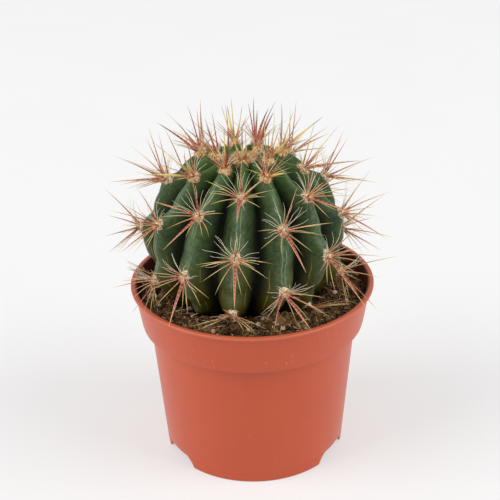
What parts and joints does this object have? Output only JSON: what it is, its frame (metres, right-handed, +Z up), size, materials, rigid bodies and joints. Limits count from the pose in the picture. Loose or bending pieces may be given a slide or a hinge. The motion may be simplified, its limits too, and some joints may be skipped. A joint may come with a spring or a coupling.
{
  "type": "potted barrel cactus",
  "caption": "Round ribbed barrel cactus with spined areoles, standing in soil in a tapered plastic nursery pot with a collar, a rolled lip and notched feet.",
  "frame": {"origin": "on the pot's axis, in the plane that its feet stand on", "axes": "+Z up through the pot and the plant, -Y the front seen in the picture, +X to the right in it"},
  "size_m": [0.1411, 0.1412, 0.1799],
  "materials": {
    "pot": "terracotta-coloured moulded plastic, faint sheen",
    "soil": "dry dark peat with fibres and grit, fully rough",
    "stem": "waxy green skin, paler along the crests",
    "crown": "cream and orange felt with young red and yellow spines",
    "young_spines": "horny spines, red to yellow, slight gloss",
    "spines": "horny spines, pink at the root and straw at the tip, slight gloss"
  },
  "bodies": {
    "root": {"pot": "pot", "soil": "soil", "stem": "stem", "crown": "crown", "areole_02": "young_spines", "areole_03": "young_spines", "areole_04": "young_spines", "areole_05": "young_spines", "areole_06": "young_spines", "areole_07": "young_spines", "areole_08": "young_spines", "areole_09": "young_spines", "areole_10": "young_spines", "areole_11": "young_spines", "areole_12": "young_spines", "areole_13": "spines", "areole_14": "spines", "areole_15": "spines", "areole_16": "spines", "areole_17": "spines", "areole_18": "spines", "areole_19": "spines", "areole_20": "spines", "areole_21": "spines", "areole_22": "spines", "areole_23": "spines", "areole_24": "spines", "areole_25": "spines", "areole_26": "spines", "areole_27": "spines", "areole_28": "spines", "areole_29": "spines", "areole_30": "spines", "areole_31": "spines", "areole_32": "spines", "areole_33": "spines", "areole_34": "spines", "areole_35": "spines", "areole_36": "spines", "areole_37": "spines", "areole_38": "spines", "areole_39": "spines", "areole_40": "spines", "areole_41": "spines", "areole_42": "spines"}
  },
  "joints": []
}
